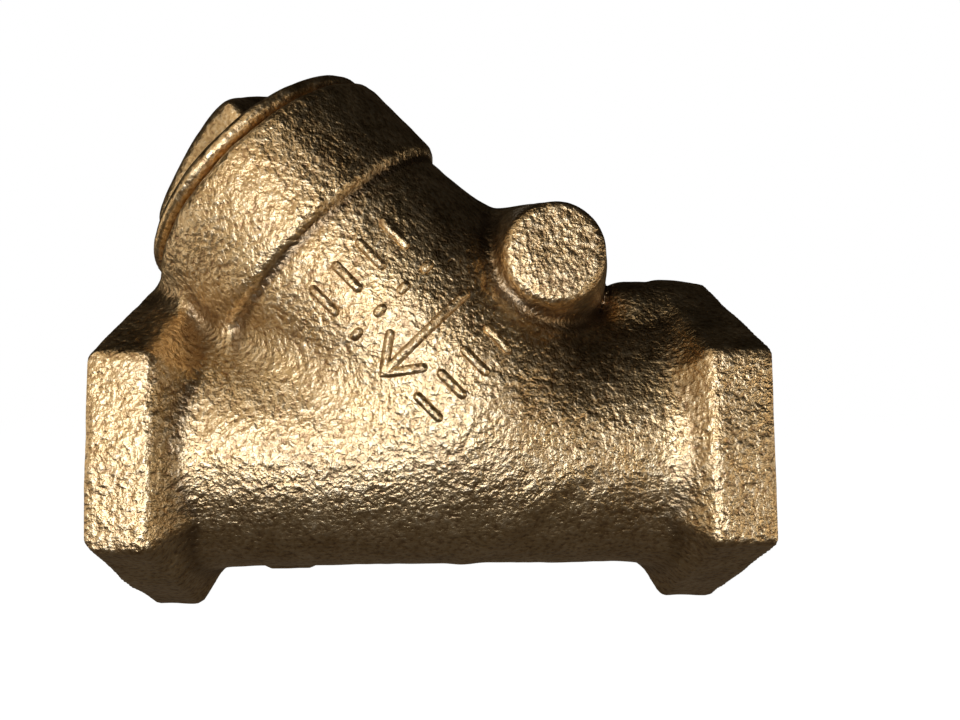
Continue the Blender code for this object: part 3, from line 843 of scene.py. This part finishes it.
def hinge_tools():
    """The pocket for the hanger's eye, the blind pin hole and the plug's threaded hole."""
    reach = CAVITY_RADIUS - 4
    half = POCKET_HALF
    pocket = turned("hinge_pocket", oblong(0, POCKET_RADIUS, -half, half), PIN_FRAME, PIN_CUT, 64)
    low, high = EYE.z - POCKET_RADIUS, EYE.z + POCKET_RADIUS
    throat = oblong(reach, EYE.x, -half, half)
    hole = oblong(0, PIN_RADIUS + 0.25, -PIN_HALF - 0.5, PLUG_INNER - 0.3)
    ends = PLUG_INNER - 0.8, BOSS_REACH + 1.5
    size = PLUG_RADIUS + 0.3, PLUG_PITCH, PLUG_THREAD_DEPTH
    return [
        pocket,
        prism("pocket_throat", throat, low, high, NECK_FRAME, PIN_CUT),
        turned("pin_hole", hole, PIN_FRAME, PIN_CUT, 48),
        threaded("plug_hole", *ends, *size, PIN_FRAME, PIN_CUT, steps=48),
    ]


def make_body():
    grid = Grid((-HALF - 1.5, -21, -23.5), (HALF + 1.5, 21, 51), BODY_STEP)
    smooth = casting_field(grid)
    rough = smooth + 0.07 * grid.undulation(5.0, 3) + 0.045 * grid.undulation(2.0, 7)
    body = grid.surface("body", rough, Matrix.Translation(RUN_MIDDLE))
    combined(body, "INTERSECT", slab("end_faces", -HALF, HALF, INLET_FRAME, RUN_CUT))
    combined(body, "UNION", relief_marks(grid, rough))
    combined(body, "DIFFERENCE", *passage_tools(), *neck_tools(), *hinge_tools(), *water_way_tools())
    mark_hollows(body, grid, smooth, Matrix.Translation(RUN_MIDDLE))
    finishes = [CAST, TURNED_RUN, TURNED_NECK, TURNED_PIN]
    finish_piece(body, "valve_body", "cast_bronze", "body", materials=finishes)


# ------------ the cap
def cap_field(grid):
    """The cap's rim with its rounded bead, and its square, domed head."""
    out = np.hypot(grid.x, grid.y)
    middle = (RIM_BOTTOM + RIM_TOP) / 2
    rim = smooth_max(out - RIM_RADIUS - 0.25, abs(grid.z - middle) - (RIM_TOP - RIM_BOTTOM) / 2, 2.2)
    turn = HEAD_TURN + pi / 4
    x = grid.x + HEAD_OFFSET
    a = abs(x * cos(turn) + grid.y * sin(turn))
    b = abs(grid.y * cos(turn) - x * sin(turn))
    lean = HEAD_TAPER * (grid.z - RIM_TOP)
    flank = smooth_max(a, b, HEAD_CORNER) + lean - HEAD_FLATS / 2
    dome = (grid.z - HEAD_TOP + 0.38 * (np.hypot(x, grid.y) - HEAD_FLATS / 2)) * 0.93
    head = smooth_max(flank, smooth_max(grid.z - HEAD_TOP, dome, 1.0), 1.6)
    head = np.maximum(head, RIM_BOTTOM + 0.5 - grid.z)
    return smooth_min(rim, head, 0.8)


def make_cap():
    grid = Grid((-20, -20, RIM_BOTTOM - 1.5), (20, 20, HEAD_TOP + 1.5), CAP_STEP)
    smooth = cap_field(grid)
    skin = 0.05 * grid.undulation(4.0, 11) + 0.02 * grid.undulation(1.8, 13)
    cap = grid.surface("cap", smooth + skin, NECK_FRAME)
    ends = CAP_SKIRT_BOTTOM + 0.5, RIM_BOTTOM + 0.4
    size = NECK_BORE - 0.3, CAP_PITCH, CAP_THREAD_DEPTH
    skirt = threaded("cap_thread", *ends, *size, NECK_FRAME, NECK_CUT)
    root = NECK_BORE - 0.3 - CAP_THREAD_DEPTH / 2
    tip = oblong(0, root, CAP_SKIRT_BOTTOM, CAP_SKIRT_BOTTOM + 1.5)
    collar = turned("skirt_end", tip, NECK_FRAME, NECK_CUT, soften=0.4)
    under = oblong(0, OUTSIDE_NECK, RIM_BOTTOM - 3, RIM_BOTTOM)
    combined(cap, "DIFFERENCE", turned("rim_face", under, NECK_FRAME, NECK_CUT))
    combined(cap, "UNION", skirt, collar)
    bore = oblong(0, CAP_BORE, CAP_SKIRT_BOTTOM - 1, CAP_CEILING)
    groove = oblong(GROOVE_INNER, GROOVE_OUTER, RIM_BOTTOM - 1, GROOVE_TOP)
    combined(
        cap,
        "DIFFERENCE",
        turned("cap_bore", bore, NECK_FRAME, NECK_CUT, soften=1.0),
        turned("gasket_groove", groove, NECK_FRAME, NECK_CUT),
    )
    mark_hollows(cap, grid, smooth, NECK_FRAME)
    finish_piece(cap, "cap", "cast_bronze", "cap", materials=[CAST_SMOOTHER, TURNED_RUN, TURNED_NECK])


# ------------ the internals
def make_ring(name, body, slot, material, soften, *sizes):
    """A flat ring round the neck axis, from its inner and outer radius, bottom and top."""
    item = turned(name, oblong(*sizes), NECK_FRAME, soften=soften)
    finish_piece(item, body, slot, name, materials=[material])


def make_gasket():
    sizes = GASKET_INNER, GASKET_OUTER, RIM_BOTTOM, GASKET_TOP
    make_ring("cap_gasket", "gasket", "gasket", GASKET, 0.15, *sizes)


def make_pin():
    edge, end = 0.5, PLUG_INNER - 0.6
    outline = [
        (0, -PIN_HALF),
        (PIN_RADIUS - edge, -PIN_HALF),
        (PIN_RADIUS, -PIN_HALF + edge),
        (PIN_RADIUS, end - edge),
        (PIN_RADIUS - edge, end),
        (0, end),
    ]
    item = turned("hinge_pin", outline, PIN_FRAME, steps=64, soften=0.15)
    finish_piece(item, "valve_body", "stainless_steel", "hinge_pin", materials=[STEEL])


def make_plug():
    edge, neck = 0.4, BOSS_REACH + 0.3
    head = [
        (0, neck - 0.3),
        (PLUG_RADIUS - 0.25, neck - 0.3),
        (PLUG_RADIUS - 0.25, neck),
        (PLUG_RADIUS, neck + 0.2),
        (PLUG_RADIUS, PLUG_TOP - edge),
        (PLUG_RADIUS - edge, PLUG_TOP),
        (0, PLUG_TOP),
    ]
    item = turned("hinge_pin_plug", head, PIN_FRAME, steps=64, soften=0.1)
    size = PLUG_RADIUS - 0.2, PLUG_PITCH, PLUG_THREAD_DEPTH - 0.1
    combined(item, "UNION", threaded("plug_thread", PLUG_INNER, neck, *size, PIN_FRAME, steps=64))
    slot = oblong(-5, 5, -PLUG_SLOT / 2, PLUG_SLOT / 2)
    cut = prism("plug_slot", slot, PLUG_TOP - PLUG_SLOT, PLUG_TOP + 1, PIN_FRAME)
    combined(item, "DIFFERENCE", cut)
    finish_piece(item, "valve_body", "turned_bronze", "hinge_pin_plug", materials=[TURNED_PIN])


def hanger_field(grid):
    """A ring round the disc's stem and an eye on the pin, joined by a bent arm with a rib."""
    x, y, z = grid.x, grid.y, grid.z
    middle, half = (HANGER_BOTTOM + HANGER_TOP) / 2, (HANGER_TOP - HANGER_BOTTOM) / 2
    round_stem = smooth_max(np.hypot(x, y) - HANGER_RING, abs(z - middle) - half, 0.8)
    beside = smooth_max(abs(y) - ARM_HALF, -x - 1, 0.5)
    flat = smooth_max(abs(z - middle) - half, x - (EYE.x - EYE_RADIUS - 0.5), 0.8)
    start = Vector((EYE.x - EYE_RADIUS - 1.6, middle + 0.3))
    reach = Vector((EYE.x, EYE.z)) - start
    share = np.clip(((x - start.x) * reach.x + (z - start.y) * reach.y) / reach.length_squared, 0, 1)
    climb = np.hypot(x - start.x - share * reach.x, z - start.y - share * reach.y) - 1.75
    arm = smooth_max(smooth_min(flat, climb, 1.0), beside, 0.8)
    to_eye = np.hypot(x - EYE.x, z - EYE.z)
    eye = smooth_max(to_eye - EYE_RADIUS, abs(y) - EYE_HALF, 0.8)
    shape = smooth_min(smooth_min(round_stem, arm, 1.0), eye, 1.0)
    return np.maximum(shape, HANGER_BOTTOM + 0.02 - z)


def make_hanger():
    low = (-HANGER_RING - 1, -EYE_HALF - 1, HANGER_BOTTOM - 1)
    grid = Grid(low, (EYE.x + EYE_RADIUS + 1, EYE_HALF + 1, EYE.z + EYE_RADIUS + 1), HANGER_STEP)
    rough = hanger_field(grid) + 0.03 * grid.undulation(2.5, 17)
    item = grid.surface("disc_hanger", rough, NECK_FRAME)
    stem_hole = [
        (0, HANGER_BOTTOM - 1),
        (STEM_RADIUS + 0.3, HANGER_BOTTOM - 1),
        (STEM_RADIUS + 0.3, HANGER_TOP - 0.3),
        (STEM_RADIUS + 1.6, HANGER_TOP + 1),
        (0, HANGER_TOP + 1),
    ]
    combined(
        item,
        "DIFFERENCE",
        turned("stem_hole", stem_hole, NECK_FRAME, 1, 64),
        turned("eye_hole", oblong(0, PIN_RADIUS + 0.3, -9, 9), PIN_FRAME, 1, 64),
    )
    finish_piece(item, "hanger", "turned_bronze", "disc_hanger", materials=[TUMBLED, TURNED_NECK])


def make_holder():
    plate = [
        (0, 3.0),
        (STUD_RADIUS - 0.15, 3.0),
        (STUD_RADIUS - 0.15, PLATE_BOTTOM),
        (FACING_RADIUS + 0.3, PLATE_BOTTOM),
        (FACING_RADIUS + 0.3, SKIRT_BOTTOM),
        (DISC_RADIUS, SKIRT_BOTTOM),
        (DISC_RADIUS, PLATE_TOP - 1.0),
        (DISC_RADIUS - 0.6, PLATE_TOP - 0.4),
        (STEM_RADIUS + 1.6, PLATE_TOP),
        (STEM_RADIUS, PLATE_TOP + 0.1),
        (STEM_RADIUS, WASHER_TOP),
        (0, WASHER_TOP),
    ]
    item = turned("disc_holder", plate, NECK_FRAME, soften=0.2)
    depth, stem_pitch, stud_pitch = 0.36, 0.8, 0.7
    stem_size = STEM_RADIUS - depth / 2, stem_pitch, depth
    stud_size = STUD_RADIUS - depth / 2, stud_pitch, depth
    stem = threaded("stem_thread", WASHER_TOP - 0.4, STEM_TOP, *stem_size, NECK_FRAME, steps=48)
    stud = threaded("stud_thread", STUD_BOTTOM, 3.4, *stud_size, NECK_FRAME, steps=48)
    combined(item, "UNION", stem, stud)
    across = COTTER_FRAME @ Matrix.Rotation(pi / 2, 4, "Y")
    combined(item, "DIFFERENCE", turned("cotter_hole", oblong(0, 0.75, -4, 4), across, 0, 32))
    finish_piece(item, "disc", "turned_bronze", "disc_holder", materials=[TURNED_NECK])


def make_facing():
    sizes = STUD_RADIUS + 0.3, FACING_RADIUS, FACING_BOTTOM, FACING_TOP
    make_ring("seat_disc", "disc", "seat_facing", FACING, 0.3, *sizes)


def make_washer(name, *sizes):
    make_ring(name, "disc", "turned_bronze", TURNED_NECK, 0.2, *sizes)


def nut_blank(name, flats, bottom, top, bore):
    """A hexagonal nut with its corners turned off at both ends and its bore countersunk."""
    item = prism(name, polygon(6, flats), bottom, top, NECK_FRAME)
    corner, drop = flats / sqrt(3), flats * 0.0893
    envelope = [
        (0, bottom),
        (flats / 2 - 0.15, bottom),
        (corner + 0.01, bottom + drop * 0.75),
        (corner + 0.01, top - drop * 0.75),
        (flats / 2 - 0.15, top),
        (0, top),
    ]
    hole = [
        (0, bottom - 1),
        (bore + 1.35, bottom - 1),
        (bore, bottom + 0.35),
        (bore, top - 0.35),
        (bore + 1.35, top + 1),
        (0, top + 1),
    ]
    combined(item, "INTERSECT", turned("envelope", envelope, NECK_FRAME, 0, 64))
    return combined(item, "DIFFERENCE", turned("bore", hole, NECK_FRAME, 0, 48))


def make_nuts():
    nut = nut_blank("seat_disc_nut", SEAT_NUT_FLATS, SEAT_NUT_BOTTOM, SEAT_NUT_TOP, STUD_RADIUS + 0.12)
    finish_piece(nut, "disc", "turned_bronze", "seat_disc_nut", materials=[TURNED_NECK], sharp=25)
    castle = nut_blank("hanger_nut", NUT_FLATS, NUT_BOTTOM, NUT_TOP, STEM_RADIUS + 0.12)
    slot = oblong(-9, 9, -SLOT_HALF, SLOT_HALF)
    for k in range(3):
        place = NECK_FRAME @ Matrix.Rotation(k * pi / 3, 4, "Z")
        combined(castle, "DIFFERENCE", prism("slot", slot, SLOT_FLOOR, NUT_TOP + 1, place))
    finish_piece(castle, "disc", "turned_bronze", "hanger_nut", materials=[TURNED_NECK], sharp=25)


def make_cotter():
    """A split pin: half-round wire doubled on itself round a loop, its two tips bent apart."""
    gap, reach = 0.02, COTTER_REACH
    leg = [(-reach - 1.2, 1.4), (-reach - 0.6, 0.75), (-reach - 0.1, 0.12)]
    leg += [(-reach + 0.6, gap), (0, gap), (reach - 1.0, gap)]
    turns = [radians(t) for t in range(150, -151, -20)]
    loop = [(reach + 0.5 + COTTER_LOOP * 0.7 * cos(t), COTTER_LOOP * 0.7 * sin(t)) for t in turns]
    path = leg + loop + [(x, -y) for x, y in reversed(leg)]
    points = softened_path([(x, y, 0) for x, y in path])
    turns = [radians(t) for t in range(-90, 91, 18)]
    half_round = [(-COTTER_RADIUS * cos(t), COTTER_RADIUS * sin(t)) for t in turns]
    item = swept("cotter_pin", points, half_round, (0, 0, 1), COTTER_FRAME)
    finish_piece(item, "disc", "stainless_steel", "cotter_pin", materials=[STEEL])


# ------------ the stage
CAMERA_PLACE = RUN_MIDDLE + Vector((-1.44, -92.0, 4.45)) * MM
CAMERA_TURN = 93.243, 0.389, -1.806  # degrees
CAMERA_LENS, CAMERA_SHIFT = 25.28, (0.038, 0.0096)

FLOOR_GLOW, WORLD_GLOW = 0.06, 0.003
LIGHT_TARGET = RUN_MIDDLE + Vector((0, 0, 0.005))
COOL, WARM = (0.9, 1, 1.2), (1, 0.88, 0.7)
LIGHTS = {  # azimuth and elevation in degrees, distance and width in metres, watts, colour
    "key": (-10, -8, 0.20, 0.14, 0.22, COOL),
    "front_fill": (-25, 12, 0.26, 0.34, 0.25, WARM),
    "left_fill": (-65, 5, 0.30, 0.20, 0.05, WARM),
    "upper_left_fill": (-50, 45, 0.30, 0.15, 0.05, WARM),
    "right_fill": (45, -12, 0.30, 0.12, 0.10, WARM),
    "inlet_fill": (90, -5, 0.30, 0.15, 0.08, WARM),
    "outlet_fill": (270, -5, 0.30, 0.15, 0.08, WARM),
    "back_fill": (180, 5, 0.35, 0.30, 0.15, WARM),
}


def area_light(name, azimuth, elevation, distance, size, watts, colour):
    """A round soft light; azimuth 0 is in front of the valve (-Y) and 90 beyond its inlet (+X)."""
    data = bpy.data.lights.new(name, "AREA")
    data.shape = "DISK"
    data.size = size
    data.energy = watts
    data.color = colour
    light = bpy.data.objects.new(name, data)
    bpy.context.scene.collection.objects.link(light)
    turn, lift = radians(azimuth), radians(elevation)
    outward = Vector((sin(turn) * cos(lift), -cos(turn) * cos(lift), sin(lift)))
    light.location = LIGHT_TARGET + outward * distance
    light.rotation_euler = (-outward).to_track_quat("-Z", "Y").to_euler()
    light.visible_camera = False


def make_camera():
    data = bpy.data.cameras.new("camera")
    data.lens = CAMERA_LENS
    data.shift_x, data.shift_y = CAMERA_SHIFT
    data.clip_start, data.clip_end = 0.005, 20
    camera = bpy.data.objects.new("camera", data)
    bpy.context.scene.collection.objects.link(camera)
    camera.location = CAMERA_PLACE
    camera.rotation_euler = [radians(turn) for turn in CAMERA_TURN]
    bpy.context.scene.camera = camera


def make_floor():
    """White to the camera; to every other ray a faint glow that lets the low lights through."""
    bpy.ops.mesh.primitive_circle_add(vertices=96, radius=1.5, fill_type="NGON")
    floor = bpy.context.object
    floor.name = "floor"
    floor.location = (RUN_MIDDLE.x, 0, BODY_LOW.z - 0.0004)
    material = bpy.data.materials.new("pale_floor")
    material.use_nodes = True
    tree = material.node_tree
    link = tree.links.new
    lit = tree.nodes["Principled BSDF"]
    settings = {"Base Color": (0.3, 0.3, 0.3, 1), "Roughness": 1.0, "Specular IOR Level": 0.0}
    settings |= {"Emission Color": (1, 1, 1, 1), "Emission Strength": 1.0}
    for key, value in settings.items():
        lit.inputs[key].default_value = value
    glow, clear, dim, path, mix = (
        tree.nodes.new(f"ShaderNode{kind}")
        for kind in ("Emission", "BsdfTransparent", "AddShader", "LightPath", "MixShader")
    )
    glow.inputs["Color"].default_value = (1, 0.80, 0.58, 1)
    glow.inputs["Strength"].default_value = FLOOR_GLOW
    link(glow.outputs[0], dim.inputs[0])
    link(clear.outputs[0], dim.inputs[1])
    link(path.outputs["Is Camera Ray"], mix.inputs[0])
    link(dim.outputs[0], mix.inputs[1])
    link(lit.outputs[0], mix.inputs[2])
    link(mix.outputs[0], tree.nodes["Material Output"].inputs["Surface"])
    floor.data.materials.append(material)


def make_world():
    """White as the backdrop, and much dimmer as a light, so that the metal keeps its dark sides."""
    world = bpy.data.worlds.new("studio")
    bpy.context.scene.world = world
    world.use_nodes = True
    tree = world.node_tree
    link = tree.links.new
    tree.nodes.clear()
    path = tree.nodes.new("ShaderNodeLightPath")
    backdrop, dim = (tree.nodes.new("ShaderNodeBackground") for _ in range(2))
    backdrop.inputs["Color"].default_value = (1, 1, 1, 1)
    dim.inputs["Color"].default_value = (1, 0.78, 0.55, 1)
    dim.inputs["Strength"].default_value = WORLD_GLOW
    mix = tree.nodes.new("ShaderNodeMixShader")
    output = tree.nodes.new("ShaderNodeOutputWorld")
    link(path.outputs["Is Camera Ray"], mix.inputs[0])
    link(dim.outputs[0], mix.inputs[1])
    link(backdrop.outputs[0], mix.inputs[2])
    link(mix.outputs[0], output.inputs["Surface"])


def make_stage():
    bpy.context.scene.view_settings.view_transform = "Standard"
    make_world()
    make_floor()
    make_camera()
    for name, settings in LIGHTS.items():
        area_light(name, *settings)


make_body()
make_cap()
make_gasket()
make_pin()
make_plug()
make_hanger()
make_holder()
make_facing()
make_washer(
    "seat_disc_washer", STUD_RADIUS + 0.3, SEAT_WASHER_RADIUS, SEAT_WASHER_BOTTOM, SEAT_WASHER_TOP
)
make_nuts()
make_washer("hanger_washer", STEM_RADIUS + 0.3, WASHER_RADIUS, WASHER_BOTTOM, WASHER_TOP)
make_cotter()
make_stage()
